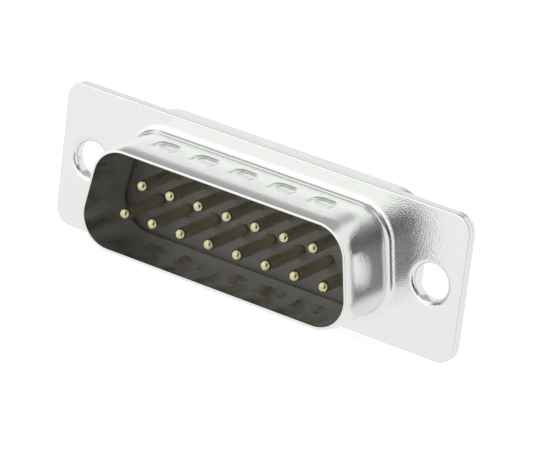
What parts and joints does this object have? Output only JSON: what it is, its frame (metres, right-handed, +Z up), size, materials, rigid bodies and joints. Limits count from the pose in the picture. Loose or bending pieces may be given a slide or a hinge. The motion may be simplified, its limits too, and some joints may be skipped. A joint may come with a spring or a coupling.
{
  "type": "d-sub connector",
  "caption": "D-shaped plug connector: a drawn steel shell on a flange with mounting holes, rows of round pins inside it, and solder cups at the back.",
  "frame": {"origin": "centre of the flange's front face, midway between the two mounting holes", "axes": "+X along the connector towards contact_01; -Y out of the plug, the way the mating part leaves; +Z up across the flange, towards the shorter row of pins"},
  "size_m": [0.0392, 0.0168, 0.0126],
  "materials": {
    "shell_plating": "bright tin plate on drawn steel",
    "insulator": "moulded, glass-filled, dark grey",
    "contact_gold": "thin gold plate on turned brass"
  },
  "bodies": {
    "root": {"front_shell": "shell_plating", "rear_shell": "shell_plating", "front_insulator": "insulator", "rear_insulator": "insulator", "contact_01": "contact_gold", "contact_02": "contact_gold", "contact_03": "contact_gold", "contact_04": "contact_gold", "contact_05": "contact_gold", "contact_06": "contact_gold", "contact_07": "contact_gold", "contact_08": "contact_gold", "contact_09": "contact_gold", "contact_10": "contact_gold", "contact_11": "contact_gold", "contact_12": "contact_gold", "contact_13": "contact_gold", "contact_14": "contact_gold", "contact_15": "contact_gold"}
  },
  "joints": []
}
